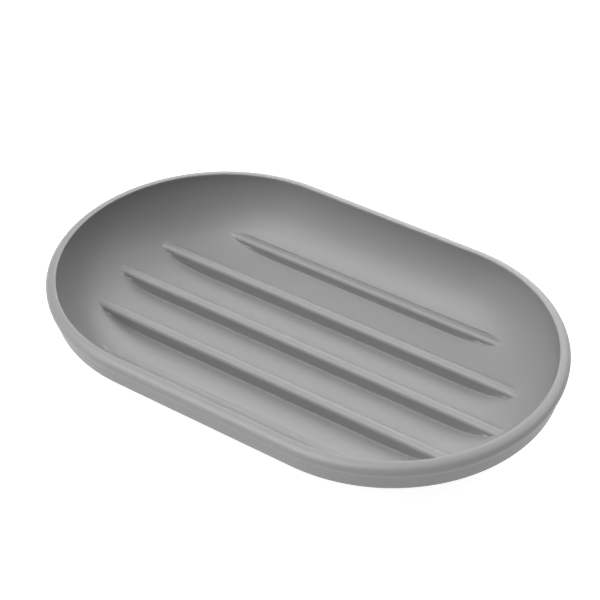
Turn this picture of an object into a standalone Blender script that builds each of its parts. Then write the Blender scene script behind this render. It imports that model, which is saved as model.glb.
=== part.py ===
"""Soap dish: a moulded dish with five drying ribs, standing on four pads seated in its base.

Every level of the dish has the same kind of plan, a stadium: the line of points at one distance,
its offset, from a straight spine that lies along X. A level is then an offset and a height, and
the dish is a stack of such levels. Metres, +Z up, origin on the resting surface under the middle.
"""

from math import cos, pi, radians, sin, tan

import bmesh
import bpy
from mathutils import Matrix, Vector

# Whole dish
dish_length = 0.140
dish_width = 0.088
end_steps = 28

# Rolled lip, from its inner edge outwards
lip_width = 0.0027
lip_drop = 0.0016
lip_face_height = 0.0009
lip_turn_under = 0.0004
lip_overhang = 0.0005
lip_edge_radius = 0.0003
lip_steps = 8
edge_steps = 3

# Skirt below the lip, and the sloping underside that runs in to the base
skirt_height = 0.0048
skirt_lean = 0.0011
skirt_edge_radius = 0.0004
base_half_width = 0.0285
base_edge_radius = 0.0015

# Bowl: the two shares shape the curve of its wall
bowl_depth = 0.0171
floor_thickness = 0.0022
floor_half_width = 0.016
wall_round_share = 2.75
wall_lean_share = 1.6
bowl_steps = 16

# Drying ribs
rib_count = 5
rib_pitch = 0.0144
rib_rise = 0.0033
rib_top_width = 0.0032
rib_side_lean = 0.0002
rib_edge_radius = 0.0010
rib_edge_steps = 5
rib_root = 0.0008

# Pads and their seats
pad_diameter = 0.010
pad_proud = 0.0007
pad_seat_depth = 0.0009
pad_gap = 0.0003
pad_edge_radius = 0.0003
pad_margin = 0.004
pad_angle = radians(45)
pad_steps = 40

# Overrun of a cutter past the face that it cuts, and the bend that is shown as an edge
overrun = 0.002
sharp_bend = radians(30)

# Worked out from the sizes above
outer_offset = dish_width / 2
half_spine = (dish_length - dish_width) / 2
base_level = pad_proud
floor_level = base_level + floor_thickness
dish_height = floor_level + bowl_depth
inner_offset = outer_offset - lip_width
lip_widest_level = dish_height - lip_drop
lip_face_level = lip_widest_level - lip_face_height
crease_level = lip_face_level - lip_turn_under
crease_offset = outer_offset - lip_overhang
skirt_edge_level = crease_level - skirt_height
skirt_edge_offset = crease_offset - skirt_lean
rib_top_level = floor_level + rib_rise
pad_radius = pad_diameter / 2
pad_reach = base_half_width - pad_margin - pad_radius


def clear_scene():
    for thing in list(bpy.data.objects):
        bpy.data.objects.remove(thing, do_unlink=True)


def plain_finish(name, colour, roughness):
    material = bpy.data.materials.new(name)
    material.use_nodes = True
    shader = material.node_tree.nodes["Principled BSDF"]
    shader.inputs["Base Color"].default_value = (*colour, 1)
    shader.inputs["Roughness"].default_value = roughness
    shader.inputs["Metallic"].default_value = 0
    return material


def add_object(name, mesh, material=None):
    mesh.shade_smooth()
    mesh.set_sharp_from_angle(angle=sharp_bend)
    if material:
        mesh.materials.append(material)
    thing = bpy.data.objects.new(name, mesh)
    bpy.context.scene.collection.objects.link(thing)
    return thing


def add_cutter(name, mesh):
    thing = add_object(name, mesh)
    thing.hide_render = True
    thing.display_type = "WIRE"
    return thing


def combine(thing, other, operation):
    modifier = thing.modifiers.new(f"{operation.lower()} {other.name}", "BOOLEAN")
    modifier.operation = operation
    modifier.solver = "EXACT"
    modifier.object = other


def stadium(offset, level):
    """Points at one offset from the spine: a half circle round each tip, joined by straight sides."""
    points = []
    for tip, start in ((half_spine, -pi / 2), (-half_spine, pi / 2)):
        for step in range(end_steps + 1):
            angle = start + pi * step / end_steps
            points.append((tip + offset * cos(angle), offset * sin(angle), level))
    return points


def stack(name, levels):
    """A closed solid through a list of (offset, level) pairs, flat across the first and the last."""
    rings = [stadium(offset, level) for offset, level in levels]
    count = len(rings[0])
    points = [point for ring in rings for point in ring]
    faces = [range(count), range(len(points) - count, len(points))]
    for first in range(0, len(points) - count, count):
        for i in range(count):
            after = (i + 1) % count
            faces.append((first + i, first + after, first + count + after, first + count + i))
    mesh = bpy.data.meshes.new(name)
    mesh.from_pydata(points, [], [tuple(face) for face in faces])
    surface = bmesh.new()
    surface.from_mesh(mesh)
    quads = [face for face in surface.faces if len(face.verts) == 4]
    bmesh.ops.triangulate(surface, faces=quads)
    bmesh.ops.recalc_face_normals(surface, faces=surface.faces)
    surface.to_mesh(mesh)
    surface.free()
    return mesh


def quarter(centre, reach, start, steps):
    """Points along a quarter of an ellipse, counterclockwise from its start angle, both ends in."""
    angles = [start + pi / 2 * step / steps for step in range(steps + 1)]
    return [(centre[0] + reach[0] * cos(a), centre[1] + reach[1] * sin(a)) for a in angles]


def rounded(before, corner, after, radius, steps):
    """Arc of one radius that touches both straight runs which meet at a corner."""
    corner = Vector(corner)
    back = (Vector(before) - corner).normalized()
    ahead = (Vector(after) - corner).normalized()
    half = back.angle(ahead) / 2
    centre = corner + (back + ahead).normalized() * (radius / sin(half))
    first = corner + back * (radius / tan(half)) - centre
    last = corner + ahead * (radius / tan(half)) - centre
    swing = first.angle(last)
    shares = [step / steps for step in range(steps + 1)]
    return [
        centre + (first * sin(swing * (1 - share)) + last * sin(swing * share)) / sin(swing)
        for share in shares
    ]


def bowl_wall():
    """Levels of the bowl from its flat floor up to the lip.

    The depth left below the lip is (1 - u ** round) ** (1 / lean) of the whole, where u runs from
    0 where the floor ends to 1 at the lip. Steps close up where the wall is steep.
    """
    levels = []
    for step in range(bowl_steps):
        u = sin(pi / 2 * step / bowl_steps)
        left = (1 - u**wall_round_share) ** (1 / wall_lean_share)
        offset = floor_half_width + (inner_offset - floor_half_width) * u
        levels.append((offset, dish_height - bowl_depth * left))
    return levels


def dish_profile():
    """Levels of the whole moulding: base, underside, skirt, lip, bowl wall, floor."""
    base_corner = (base_half_width, base_level)
    skirt_corner = (skirt_edge_offset, skirt_edge_level)
    crease = (crease_offset, crease_level)
    levels = rounded((0, base_level), base_corner, skirt_corner, base_edge_radius, edge_steps)
    levels += rounded(base_corner, skirt_corner, crease, skirt_edge_radius, edge_steps)
    under = (crease_offset, lip_face_level)
    levels += quarter(under, (lip_overhang, lip_turn_under), -pi / 2, lip_steps // 2)
    crown = (inner_offset + lip_edge_radius, lip_widest_level)
    levels += quarter(crown, (outer_offset - crown[0], lip_drop), 0, lip_steps)
    wall = bowl_wall()
    top = (inner_offset, dish_height)
    levels += rounded(levels[-1], top, wall[-1], lip_edge_radius, edge_steps)
    return levels + wall[::-1]


def rib_bars():
    """Five bars along X, each a tapered section with rounded top edges, longer than the bowl."""
    low = floor_level - rib_root - overrun
    lean = rib_side_lean * (rib_top_level - low) / rib_rise
    half_top = rib_top_width / 2
    corners = [(-half_top - lean, low), (-half_top, rib_top_level)]
    corners += [(half_top, rib_top_level), (half_top + lean, low)]
    section = [corners[0]]
    section += rounded(*corners[0:3], rib_edge_radius, rib_edge_steps)
    section += rounded(*corners[1:4], rib_edge_radius, rib_edge_steps)
    section += [corners[3]]
    surface = bmesh.new()
    for rib in range(rib_count):
        across = (rib - (rib_count - 1) / 2) * rib_pitch
        ring = [surface.verts.new((-dish_length / 2, across + y, z)) for y, z in section]
        end = surface.faces.new(ring)
        drawn = bmesh.ops.extrude_face_region(surface, geom=[end])
        moved = [part for part in drawn["geom"] if isinstance(part, bmesh.types.BMVert)]
        bmesh.ops.translate(surface, verts=moved, vec=(dish_length, 0, 0))
    bmesh.ops.recalc_face_normals(surface, faces=surface.faces)
    mesh = bpy.data.meshes.new("rib_bars")
    surface.to_mesh(mesh)
    surface.free()
    return mesh


def bowl_filling():
    """The bowl's space, sunk into its wall and floor by the root that ties the ribs in."""
    levels = [(offset + rib_root, level - rib_root) for offset, level in bowl_wall()]
    return stack("bowl_filling", [pair for pair in levels if pair[1] < rib_top_level + overrun])


def pad_places():
    return [
        Vector((end * (half_spine + pad_reach * cos(pad_angle)), side * pad_reach * sin(pad_angle), 0))
        for end in (-1, 1)
        for side in (-1, 1)
    ]


def pad_mesh():
    surface = bmesh.new()
    thickness = pad_proud + pad_seat_depth - pad_gap
    bmesh.ops.create_cone(
        surface,
        cap_ends=True,
        segments=pad_steps,
        radius1=pad_radius,
        radius2=pad_radius,
        depth=thickness,
        matrix=Matrix.Translation((0, 0, thickness / 2)),
    )
    rim = [edge for edge in surface.edges if all(vert.co.z < thickness / 2 for vert in edge.verts)]
    bmesh.ops.bevel(surface, geom=rim, offset=pad_edge_radius, segments=edge_steps, affect="EDGES")
    mesh = bpy.data.meshes.new("foot_pad")
    surface.to_mesh(mesh)
    surface.free()
    return mesh


def pad_seats():
    """One cylinder for each pad, from below the base up to the roof of the seat."""
    surface = bmesh.new()
    depth = pad_seat_depth + overrun
    for place in pad_places():
        bmesh.ops.create_cone(
            surface,
            cap_ends=True,
            segments=pad_steps,
            radius1=pad_radius + pad_gap,
            radius2=pad_radius + pad_gap,
            depth=depth,
            matrix=Matrix.Translation(place + Vector((0, 0, base_level - overrun + depth / 2))),
        )
    mesh = bpy.data.meshes.new("pad_seats")
    surface.to_mesh(mesh)
    surface.free()
    return mesh


def make_dish(finish):
    ribs = add_cutter("rib_bars", rib_bars())
    combine(ribs, add_cutter("bowl_filling", bowl_filling()), "INTERSECT")
    dish = add_object("dish_body", stack("dish_body", dish_profile()), finish)
    combine(dish, ribs, "UNION")
    combine(dish, add_cutter("pad_seats", pad_seats()), "DIFFERENCE")


def make_pads(finish):
    mesh = pad_mesh()
    names = ("foot_pad_left_front", "foot_pad_left_back", "foot_pad_right_front", "foot_pad_right_back")
    for name, place in zip(names, pad_places()):
        pad = add_object(name, mesh)
        pad.location = place
    mesh.materials.append(finish)


clear_scene()
make_dish(plain_finish("grey_plastic", (0.33, 0.33, 0.33), 0.55))
make_pads(plain_finish("pad_rubber", (0.12, 0.12, 0.12), 0.8))
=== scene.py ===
"""Looks of a soap dish: one grey matt moulding with five drying ribs, on four rubber pads.

Every level of the dish has a stadium for its plan: all points at one distance, the offset, from a
straight spine that lies along X. A point of the surface is then a place along the spine's outline,
an offset and a level. Metres, in the frame's axes.
"""

from math import asin, cos, pi, radians, sin, tan

import bmesh
import bpy
import numpy as np
from mathutils import Matrix, Vector


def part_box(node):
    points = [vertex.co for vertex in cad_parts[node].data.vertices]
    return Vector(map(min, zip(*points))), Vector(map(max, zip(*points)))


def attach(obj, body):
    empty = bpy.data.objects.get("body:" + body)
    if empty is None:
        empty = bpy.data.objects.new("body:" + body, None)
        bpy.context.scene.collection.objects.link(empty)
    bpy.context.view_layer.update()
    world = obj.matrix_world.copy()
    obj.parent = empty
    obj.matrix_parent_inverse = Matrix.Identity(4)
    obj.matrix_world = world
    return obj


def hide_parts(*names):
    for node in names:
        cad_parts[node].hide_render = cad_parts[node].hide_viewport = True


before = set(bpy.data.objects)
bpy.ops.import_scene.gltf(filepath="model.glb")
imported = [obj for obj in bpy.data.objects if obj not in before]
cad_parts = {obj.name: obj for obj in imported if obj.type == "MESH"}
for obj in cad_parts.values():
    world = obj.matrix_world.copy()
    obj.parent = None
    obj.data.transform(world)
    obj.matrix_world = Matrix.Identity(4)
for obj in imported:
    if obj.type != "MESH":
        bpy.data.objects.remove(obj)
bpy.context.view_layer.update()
dish_low, dish_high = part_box("dish_body")
pad_names = ("foot_pad_left_front", "foot_pad_left_back", "foot_pad_right_front", "foot_pad_right_back")

# Whole dish
lip_level = dish_high[2]
base_level = dish_low[2]
outer_offset = (dish_high[1] - dish_low[1]) / 2
half_spine = (dish_high[0] - dish_low[0]) / 2 - outer_offset

# Rolled lip: its roll stops short of the crease, which keeps the crease soft
lip_width = 0.0027
lip_drop = 0.0016
lip_roll_height = 0.0013
lip_roll_end = radians(70)
lip_overhang = 0.0005
lip_edge_radius = 0.0003

# Skirt and underside
skirt_height = 0.0048
skirt_lean = 0.0011
skirt_edge_radius = 0.0004
base_half_width = 0.0285
base_edge_radius = 0.0015

# Bowl: the two shares shape the curve of its wall
bowl_depth = 0.0171
floor_half_width = 0.016
wall_round_share = 2.75
wall_lean_share = 1.6

# Drying ribs
rib_count = 5
rib_pitch = 0.0144
rib_rise = 0.0035
rib_half_top = 0.0017
rib_side_lean = 0.0004
rib_edge_radius = 0.0014
rib_foot_radius = 0.00015
rib_end_blend = 0.0003

# Pads in their seats
pad_edge_radius = 0.0003
pad_back_edge_radius = 0.00015
seat_gap = 0.0003
seat_depth = 0.0009
seat_rim_radius = 0.00015

# Fineness of the surfaces: the offset where the field ends and the rings begin, steps along each
# stretch, and the shares of each straight run that get a ring
field_offset = 0.034
field_columns = 90
edge_rows = 14
gap_rows = 9
border_steps = 12
wall_steps = 9
crown_steps = 12
arc_steps = 4
lathe_steps = 96
base_ring_inset = 0.0004
skirt_shares = (0.06, 0.2, 0.5, 0.92)
underside_shares = (0.06, 0.5, 0.88)
pad_face_shares = (0.3, 0.6, 0.9)
seat_roof_shares = (1, 0.96, 0.5)
sharp_bend = radians(35)

# Worked out from the sizes above
inner_offset = outer_offset - lip_width
crown_offset = inner_offset + lip_edge_radius
lip_widest_level = lip_level - lip_drop
crease_level = lip_widest_level - lip_roll_height
crease_offset = outer_offset - lip_overhang
skirt_edge_level = crease_level - skirt_height
skirt_edge_offset = crease_offset - skirt_lean
rib_top_level = lip_level - bowl_depth + rib_rise

# Finishes: how far the faint clouds move the tone and the roughness, as shares
tone_swing = 0.03
roughness_swing = 0.06
grain_strength = 0.25

# Camera: distances in metres, lens and sensor in millimetres
view_azimuth = radians(35.18)
view_elevation = radians(39.52)
view_roll = radians(-1.15)
view_distance = 0.432
view_right = -0.00024
view_up = 0.00075
view_lens = 103.7
view_sensor = 36
view_nearest = 0.01

# Light and floor: each patch has a strength, an azimuth from +X towards +Y and an elevation in
# degrees, and a narrowness
dome_base = 0.76
dome_rise = -1.27
left_light = (6.3, 232, 61, 8.4)
back_light = (3.2, 108, 30, 10.0)
right_light = (2.4, 46, 45, 10.0)
floor_shade = 0.3
floor_glow = 0.86
contrast_gamma = 0.6
floor_reach = 3.0


# Meshes


def grid_faces(rows, columns, closed=False):
    """Quads of a grid of points numbered row by row; closed joins the last column to the first."""
    first = np.arange(rows - 1)[:, None] * columns
    column = np.arange(columns if closed else columns - 1)
    after = (column + 1) % columns
    corners = (first + column, first + after, first + columns + after, first + columns + column)
    return np.stack(corners, axis=-1).reshape(-1, 4)


def arc(before, corner, after, radius, steps):
    """Arc that touches both straight runs meeting at a corner, from the first run to the second. Its
    centre lies on the line that halves the corner, and its points turn by equal angles."""
    corner = np.asarray(corner, float)
    back = np.asarray(before, float) - corner
    ahead = np.asarray(after, float) - corner
    back /= np.linalg.norm(back)
    ahead /= np.linalg.norm(ahead)
    half = np.arccos(back @ ahead) / 2
    middle = (back + ahead) / np.linalg.norm(back + ahead)
    centre = corner + middle * radius / sin(half)
    first = corner + back * radius / tan(half) - centre
    last = corner + ahead * radius / tan(half) - centre
    swing = pi - 2 * half
    share = np.linspace(0, 1, steps + 1)[:, None]
    return centre + (first * np.sin(swing * (1 - share)) + last * np.sin(swing * share)) / sin(swing)


def elliptic_arc(centre, reach, start, end, steps):
    """Part of an ellipse between two angles, both ends in: the centre, plus one reach times the
    cosine and the other times the sine."""
    angle = np.linspace(start, end, steps + 1)
    return np.stack((centre[0] + reach[0] * np.cos(angle), centre[1] + reach[1] * np.sin(angle)), axis=-1)


def straight(start, end, shares):
    """Points at the given shares of the way from one point to another."""
    start = np.asarray(start, float)
    return start + (np.asarray(end, float) - start) * np.asarray(shares)[:, None]


def bowl_level(offset):
    """Bowl: the depth left below the lip is (1 - u ** round) ** (1 / lean) of the whole depth, and u
    runs from 0 where the floor ends to 1 at the lip."""
    u = np.clip((offset - floor_half_width) / (inner_offset - floor_half_width), 0, 1)
    return lip_level - bowl_depth * (1 - u**wall_round_share) ** (1 / wall_lean_share)


def rib_rows():
    """Distances of a rib's rows from its middle line: across the flat crest, by equal turns round its
    edge, by equal turns round the fillet at its foot, and one row beyond."""
    turn = np.linspace(0, pi / 2, edge_rows)
    crest = rib_half_top - rib_edge_radius + rib_edge_radius * np.sin(turn)
    foot_start = rib_half_top + rib_side_lean
    foot = foot_start + rib_foot_radius * (1 - np.cos(np.linspace(0, pi / 2, arc_steps + 1)))
    support = foot[-1] + rib_foot_radius
    return np.concatenate(([0, crest[0] / 2], crest, foot, [support]))


def field_rows():
    """Y of every row: the rows of each rib, even steps between the ribs, and equal turns of the
    field's round ends beyond the outer ribs."""
    near = rib_rows()
    section = np.concatenate((-near[:0:-1], near))
    middles = (np.arange(rib_count) - (rib_count - 1) / 2) * rib_pitch
    rows = [section + middle for middle in middles]
    gap = np.linspace(near[-1], rib_pitch - near[-1], gap_rows + 1)[1:-1]
    rows += [gap + middle for middle in middles[:-1]]
    last = middles[-1] + near[-1]
    border = field_offset * np.sin(np.linspace(asin(last / field_offset), pi / 2, border_steps + 1)[1:])
    rows += [border, -border]
    return np.sort(np.concatenate(rows))


def soft_max(first, second, reach):
    """The larger of two levels, with a parabola in place of the corner where they are within reach."""
    near = np.clip(1 - np.abs(first - second) / reach, 0, None)
    return np.maximum(first, second) + reach * near**2 / 4


def dish_field():
    """Floor and ribs as a height over a grid of rows (Y) and columns (X, a share of the row's reach).

    The height is the bowl's, and within a rib's width the rib's own where that is higher: a flat
    crest, a quarter circle over each edge, a steep side, and a small circular fillet at its foot.
    Where the wall rises through the crest, the two blend, so each rib dies into the wall with a
    round end.
    """
    y = field_rows()[:, None]
    share = np.sin(np.linspace(-pi / 2, pi / 2, 2 * field_columns + 1))[None, :]
    x = share * (half_spine + np.sqrt(np.clip(field_offset**2 - y**2, 0, None)))
    bowl = bowl_level(np.hypot(np.clip(np.abs(x) - half_spine, 0, None), y))
    rib = np.clip(np.round(y / rib_pitch), -(rib_count // 2), rib_count // 2)
    distance = np.abs(y - rib * rib_pitch)
    over = np.clip(distance - rib_half_top + rib_edge_radius, 0, rib_edge_radius)
    crest = rib_top_level - rib_edge_radius + np.sqrt(rib_edge_radius**2 - over**2)
    foot = np.clip(rib_top_level - rib_edge_radius - bowl, 0, rib_foot_radius)
    under = np.clip(rib_half_top + rib_side_lean + foot - distance, 0, foot)
    on_floor = bowl + foot - np.sqrt(foot**2 - under**2)
    on_crest = soft_max(bowl, crest, rib_end_blend)
    level = np.where(distance < rib_half_top + rib_side_lean / 2, on_crest, on_floor)
    return np.stack(np.broadcast_arrays(x, y, level), axis=-1)


def border_loop(rows, columns):
    """Numbers of the grid's border points, counterclockwise seen from above."""
    number = np.arange(rows * columns).reshape(rows, columns)
    sides = (number[0, :-1], number[:-1, -1], number[-1, :0:-1], number[:0:-1, 0])
    return np.concatenate(sides)


def wall_rings():
    """The bowl's wall between the field and the lip: rings on its curve, closer where it is steep."""
    start = asin((field_offset - floor_half_width) / (inner_offset - floor_half_width))
    u = np.sin(np.linspace(start, pi / 2, wall_steps + 1)[1:-1])
    offset = floor_half_width + (inner_offset - floor_half_width) * u
    return np.stack((offset, bowl_level(offset)), axis=-1)


def lip_rings(wall_end):
    """The lip from the end of the wall: over its small inner edge, down its elliptic crown to where
    it is widest, and round its elliptic roll, which stops just above the crease."""
    crown_start = (crown_offset, lip_level)
    inner_edge = arc(wall_end, (inner_offset, lip_level), crown_start, lip_edge_radius, arc_steps)
    crown_middle = (crown_offset, lip_widest_level)
    crown_reach = (outer_offset - crown_offset, lip_drop)
    crown = elliptic_arc(crown_middle, crown_reach, pi / 2, 0, crown_steps)[1:]
    roll_middle = (crease_offset, lip_widest_level)
    roll_reach = (lip_overhang, lip_roll_height)
    roll = elliptic_arc(roll_middle, roll_reach, 0, -lip_roll_end, 2 * arc_steps)[1:]
    return np.concatenate((inner_edge, crown, roll))


def skirt_rings():
    """From the crease down the leaning skirt, round its edge, in along the sloping underside, round
    into the flat base and a little way over it."""
    crease = (crease_offset, crease_level)
    skirt_corner = (skirt_edge_offset, skirt_edge_level)
    base_corner = (base_half_width, base_level)
    skirt = straight(crease, skirt_corner, skirt_shares)
    skirt_edge = arc(crease, skirt_corner, base_corner, skirt_edge_radius, arc_steps)
    underside = straight(skirt_corner, base_corner, underside_shares)
    base_edge = arc(skirt_corner, base_corner, (0, base_level), base_edge_radius, arc_steps)
    base_ring = [(base_edge[-1][0] - base_ring_inset, base_level)]
    return np.concatenate((skirt, skirt_edge, underside, base_edge, base_ring))


def dish_profile():
    """Offset and level of each ring outside the field, from the wall to the base."""
    wall = wall_rings()
    return np.concatenate((wall, lip_rings(wall[-1]), skirt_rings()))


def rings(loop, profile):
    """Rings round the field's border: each border point is carried straight away from the spine to
    the profile's offset, at the profile's level."""
    spine = np.zeros_like(loop)
    spine[:, 0] = np.clip(loop[:, 0], -half_spine, half_spine)
    away = (loop - spine)[:, :2] / field_offset
    offset, level = profile[:, 0, None], profile[:, 1, None]
    x = spine[None, :, 0] + offset * away[None, :, 0]
    y = offset * away[None, :, 1]
    return np.stack(np.broadcast_arrays(x, y, level), axis=-1)


def lathe(profile, centre):
    """A profile of (radius, level) turned round an upright axis: one ring for each of its points."""
    turn = np.arange(lathe_steps) * 2 * pi / lathe_steps
    x = centre[0] + profile[:, 0, None] * np.cos(turn)
    y = centre[1] + profile[:, 0, None] * np.sin(turn)
    return np.stack(np.broadcast_arrays(x, y, profile[:, 1, None]), axis=-1)


def pad_place(name):
    """Middle, radius, lowest and highest level of a pad."""
    low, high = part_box(name)
    return ((low[0] + high[0]) / 2, (low[1] + high[1]) / 2), (high[0] - low[0]) / 2, low[2], high[2]


def seat_profile(radius):
    """A pad's seat from its rim in the base: over a small rim radius, up the wall, in along the roof."""
    roof = base_level + seat_depth
    outside = (radius + seat_rim_radius, base_level)
    rim = arc(outside, (radius, base_level), (radius, roof), seat_rim_radius, arc_steps)
    return np.concatenate((rim, [(radius * share, roof) for share in seat_roof_shares]))


def dish_mesh():
    """The whole moulding as one closed skin: the field of floor and ribs, the rings round it down to
    the base, the four seats, and the flats between them."""
    field = dish_field()
    rows, columns = field.shape[:2]
    loop = border_loop(rows, columns)
    field = field.reshape(-1, 3)
    outside = rings(field[loop], dish_profile())
    around = len(loop)
    first_ring = len(field) + np.arange(around)
    seam = np.stack((loop, first_ring, np.roll(first_ring, -1), np.roll(loop, -1)), axis=-1)
    points = [field, outside.reshape(-1, 3)]
    faces = [grid_faces(rows, columns), seam, grid_faces(len(outside), around, closed=True) + len(field)]
    count = len(field) + len(outside) * around
    base_edge = count - around + np.arange(around)
    rims = []
    roofs = []
    for name in pad_names:
        centre, radius = pad_place(name)[:2]
        seat = lathe(seat_profile(radius + seat_gap), centre)
        points.append(seat.reshape(-1, 3))
        faces.append(grid_faces(len(seat), lathe_steps, closed=True) + count)
        rims.append(count + np.arange(lathe_steps))
        count += len(seat) * lathe_steps
        roofs.append(count - lathe_steps + np.arange(lathe_steps))
    mesh = bpy.data.meshes.new("dish_shell")
    mesh.from_pydata(np.concatenate(points), [], np.concatenate(faces).tolist())
    fill_flats(mesh, [[base_edge, *rims]] + [[roof] for roof in roofs])
    return mesh


def fill_flats(mesh, flats):
    """Fills each flat face, given as the loops of points that bound it, and turns all faces outwards."""
    surface = bmesh.new()
    surface.from_mesh(mesh)
    surface.verts.ensure_lookup_table()
    for loops in flats:
        edges = []
        for loop in loops:
            corners = [surface.verts[number] for number in loop]
            edges += [surface.edges.get(ends) for ends in zip(corners, corners[1:] + corners[:1])]
        bmesh.ops.triangle_fill(surface, use_beauty=True, edges=edges)
    bmesh.ops.recalc_face_normals(surface, faces=surface.faces)
    surface.to_mesh(mesh)
    surface.free()


def pad_mesh(name):
    """A pad turned from its own profile: flat sole, rounded edges, flat back."""
    centre, radius, low, high = pad_place(name)
    sole = straight((0, low), (radius, low), pad_face_shares)
    sole_edge = arc((0, low), (radius, low), (radius, high), pad_edge_radius, arc_steps)
    back_edge = arc((radius, low), (radius, high), (0, high), pad_back_edge_radius, arc_steps)
    back = straight((0, high), (radius, high), pad_face_shares)[::-1]
    skin = lathe(np.concatenate((sole, sole_edge, back_edge, back)), centre)
    faces = grid_faces(len(skin), lathe_steps, closed=True)
    ring = np.arange(lathe_steps)
    last = (len(skin) - 1) * lathe_steps
    mesh = bpy.data.meshes.new(name + "_rubber")
    mesh.from_pydata(skin.reshape(-1, 3), [], faces.tolist() + [ring.tolist(), (ring + last).tolist()])
    surface = bmesh.new()
    surface.from_mesh(mesh)
    bmesh.ops.recalc_face_normals(surface, faces=surface.faces)
    surface.to_mesh(mesh)
    surface.free()
    return mesh


# Materials


class Value:
    """A number, colour or vector that varies over a surface. Sums on it add Math nodes."""

    def __init__(self, finish, socket):
        self.finish = finish
        self.socket = socket

    def maths(self, operation, *others):
        return self.finish.add("ShaderNodeMath", {"operation": operation}, dict(enumerate((self, *others))))

    def __add__(self, other):
        return self.maths("ADD", other)

    def __sub__(self, other):
        return self.maths("SUBTRACT", other)

    def __rsub__(self, other):
        return self * -1.0 + other

    def __mul__(self, other):
        return self.maths("MULTIPLY", other)

    __radd__ = __add__
    __rmul__ = __mul__


class Finish:
    """A node tree, with one way to add any node to it."""

    def __init__(self, tree):
        self.tree = tree

    def add(self, kind, settings=None, sockets=None, output=0):
        """Adds a node: its settings first, then what its sockets take. Gives one of its outputs."""
        node = self.tree.nodes.new(kind)
        for name, setting in (settings or {}).items():
            setattr(node, name, setting)
        for place, given in (sockets or {}).items():
            if isinstance(given, Value):
                self.tree.links.new(given.socket, node.inputs[place])
            else:
                node.inputs[place].default_value = given
        return Value(self, node.outputs[output]) if node.outputs else None


def new_finish(name):
    material = bpy.data.materials.new(name)
    material.use_nodes = True
    material.node_tree.nodes.clear()
    return material, Finish(material.node_tree)


def matt_surface(name, shade, roughness, grain_size, grain_height, cloud_size):
    """Moulded matter: a fine grain in relief, and faint clouds in its tone and its roughness."""
    material, finish = new_finish(name)
    place = finish.add("ShaderNodeTexCoord", output="Object")
    grain_noise = {"Vector": place, "Scale": 1 / grain_size, "Detail": 2.0, "Roughness": 0.6}
    grain = finish.add("ShaderNodeTexNoise", {}, grain_noise)
    cloud_noise = {"Vector": place, "Scale": 1 / cloud_size, "Detail": 3.0}
    cloud = finish.add("ShaderNodeTexNoise", {}, cloud_noise) - 0.5
    tone = shade * (1 + tone_swing * cloud)
    colour = finish.add("ShaderNodeCombineColor", {}, {0: tone, 1: tone, 2: tone})
    bump = {"Strength": grain_strength, "Distance": grain_height, "Height": grain}
    looks = {
        "Base Color": colour,
        "Roughness": roughness + roughness_swing * cloud,
        "Metallic": 0.0,
        "IOR": 1.5,
        "Normal": finish.add("ShaderNodeBump", {}, bump),
    }
    shader = finish.add("ShaderNodeBsdfPrincipled", {}, looks)
    finish.add("ShaderNodeOutputMaterial", {}, {"Surface": shader})
    return material


def plain_floor():
    """Floor that glows white, as a light table does, over a matt grey that takes a faint shadow."""
    material, finish = new_finish("pale_floor")
    grey = (floor_shade, floor_shade, floor_shade, 1.0)
    matt = finish.add("ShaderNodeBsdfDiffuse", {}, {"Color": grey})
    glow = finish.add("ShaderNodeEmission", {}, {"Strength": floor_glow})
    shader = finish.add("ShaderNodeAddShader", {}, {0: matt, 1: glow})
    finish.add("ShaderNodeOutputMaterial", {}, {"Surface": shader})
    return material


# Pieces, stage, light and camera


def add_piece(name, mesh, material, node):
    mesh.materials.append(material)
    mesh.shade_smooth()
    mesh.set_sharp_from_angle(angle=sharp_bend)
    piece = bpy.data.objects.new(name, mesh)
    bpy.context.scene.collection.objects.link(piece)
    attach(piece, "root")
    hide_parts(node)


def make_pieces():
    plastic = matt_surface(
        "grey_plastic", shade=0.36, roughness=0.4, grain_size=0.0002, grain_height=0.00002, cloud_size=0.02
    )
    rubber = matt_surface(
        "pad_rubber", shade=0.1, roughness=0.8, grain_size=0.0003, grain_height=0.00003, cloud_size=0.004
    )
    add_piece("moulded_dish", dish_mesh(), plastic, "dish_body")
    for name in pad_names:
        add_piece(name + "_rubber", pad_mesh(name), rubber, name)


def make_stage():
    mesh = bpy.data.meshes.new("floor")
    turns = ((-1, -1), (1, -1), (1, 1), (-1, 1))
    mesh.from_pydata([(x * floor_reach, y * floor_reach, 0) for x, y in turns], [], [(0, 1, 2, 3)])
    mesh.materials.append(plain_floor())
    floor = bpy.data.objects.new("floor", mesh)
    bpy.context.scene.collection.objects.link(floor)


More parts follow.
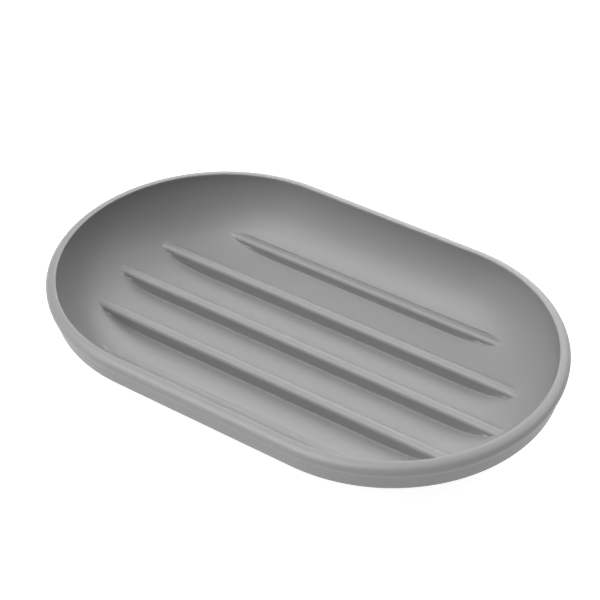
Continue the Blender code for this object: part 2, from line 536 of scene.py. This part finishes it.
def lobe(finish, way, light):
    """Soft patch of light: its strength times a power, the narrowness, of the cosine of the angle
    from its middle."""
    strength, azimuth, elevation, narrowness = light
    level = cos(radians(elevation))
    middle = (level * cos(radians(azimuth)), level * sin(radians(azimuth)), sin(radians(elevation)))
    cosine = finish.add("ShaderNodeVectorMath", {"operation": "DOT_PRODUCT"}, {0: way, 1: middle}, "Value")
    return strength * cosine.maths("MAXIMUM", 0.0).maths("POWER", narrowness)


def make_light():
    """A dome of light that is darker overhead, with three soft patches as the camera sees it: the
    strongest high on the left, one low behind the dish and one on the right. A display gamma below
    1 gives the photograph's contrast."""
    world = bpy.data.worlds.new("studio")
    bpy.context.scene.world = world
    world.use_nodes = True
    world.node_tree.nodes.clear()
    finish = Finish(world.node_tree)
    way = finish.add("ShaderNodeTexCoord", output="Generated")
    height = finish.add("ShaderNodeSeparateXYZ", {}, {0: way}, "Z")
    strength = dome_base + dome_rise * height
    for light in (left_light, back_light, right_light):
        strength = strength + lobe(finish, way, light)
    dome = {"Color": (1.0, 1.0, 1.0, 1.0), "Strength": strength.maths("MAXIMUM", 0.0)}
    shader = finish.add("ShaderNodeBackground", {}, dome)
    finish.add("ShaderNodeOutputWorld", {}, {"Surface": shader})
    bpy.context.scene.view_settings.view_transform = "Standard"
    bpy.context.scene.view_settings.gamma = contrast_gamma


def make_camera():
    """Camera at the photograph's angle: it looks from an azimuth right of the front, from above, and
    leans by the roll. Its aim is the middle of the lip's plane, shifted slightly in the picture."""
    across = Vector((cos(view_azimuth), sin(view_azimuth), 0))
    level = cos(view_elevation)
    back = Vector((sin(view_azimuth) * level, -cos(view_azimuth) * level, sin(view_elevation)))
    turn = Matrix.Rotation(view_roll, 3, back)
    right = turn @ across
    up = turn @ back.cross(across)
    place = Vector((0, 0, lip_level)) + view_right * right + view_up * up + view_distance * back
    pose = Matrix((right, up, back)).transposed().to_4x4()
    pose.translation = place
    data = bpy.data.cameras.new("camera")
    data.lens = view_lens
    data.sensor_width = view_sensor
    data.clip_start = view_nearest
    camera = bpy.data.objects.new("camera", data)
    camera.matrix_world = pose
    bpy.context.scene.collection.objects.link(camera)
    bpy.context.scene.camera = camera


make_pieces()
make_stage()
make_light()
make_camera()
